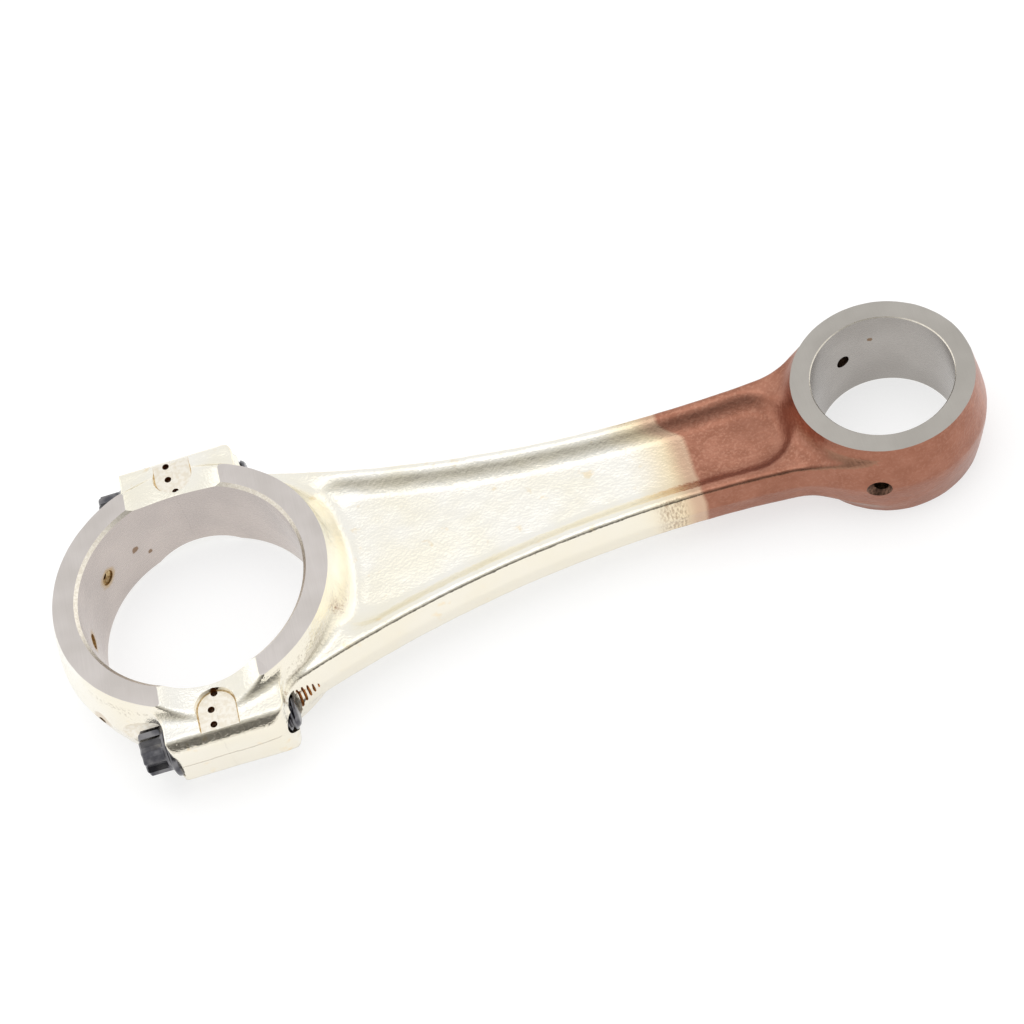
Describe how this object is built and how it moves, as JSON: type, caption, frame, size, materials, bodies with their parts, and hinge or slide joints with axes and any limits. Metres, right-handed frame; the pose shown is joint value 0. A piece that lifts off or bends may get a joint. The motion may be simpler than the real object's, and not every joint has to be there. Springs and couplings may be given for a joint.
{
  "type": "connecting rod",
  "caption": "Forged two-stroke connecting rod with a split big end, a bolted bearing cap, an I-section beam and a copper-plated small end.",
  "frame": {"origin": "on the axis of the big-end bore, at mid-width", "axes": "+X from the big end to the small end, +Z along the bore axes, +Y to the left of a viewer who looks along +X"},
  "size_m": [0.1989, 0.0722, 0.0216],
  "materials": {
    "plated_forging": "bright satin plating over a forged skin, warm white with a faint gold tint",
    "black_bolt": "black oxide, satin"
  },
  "bodies": {
    "rod": {"rod": "plated_forging"},
    "cap": {"cap": "plated_forging"},
    "bolt_left": {"cap_bolt_left": "black_bolt"},
    "bolt_right": {"cap_bolt_right": "black_bolt"}
  },
  "joints": [
    {"name": "cap_slide", "type": "slide", "parent": "rod", "child": "cap", "axis": [-1, 0, 0], "range_m": [0, 0.036]},
    {"name": "bolt_left_slide", "type": "slide", "parent": "cap", "child": "bolt_left", "axis": [-1, 0, 0], "range_m": [0, 0.027]},
    {"name": "bolt_right_slide", "type": "slide", "parent": "cap", "child": "bolt_right", "axis": [-1, 0, 0], "range_m": [0, 0.027]}
  ]
}
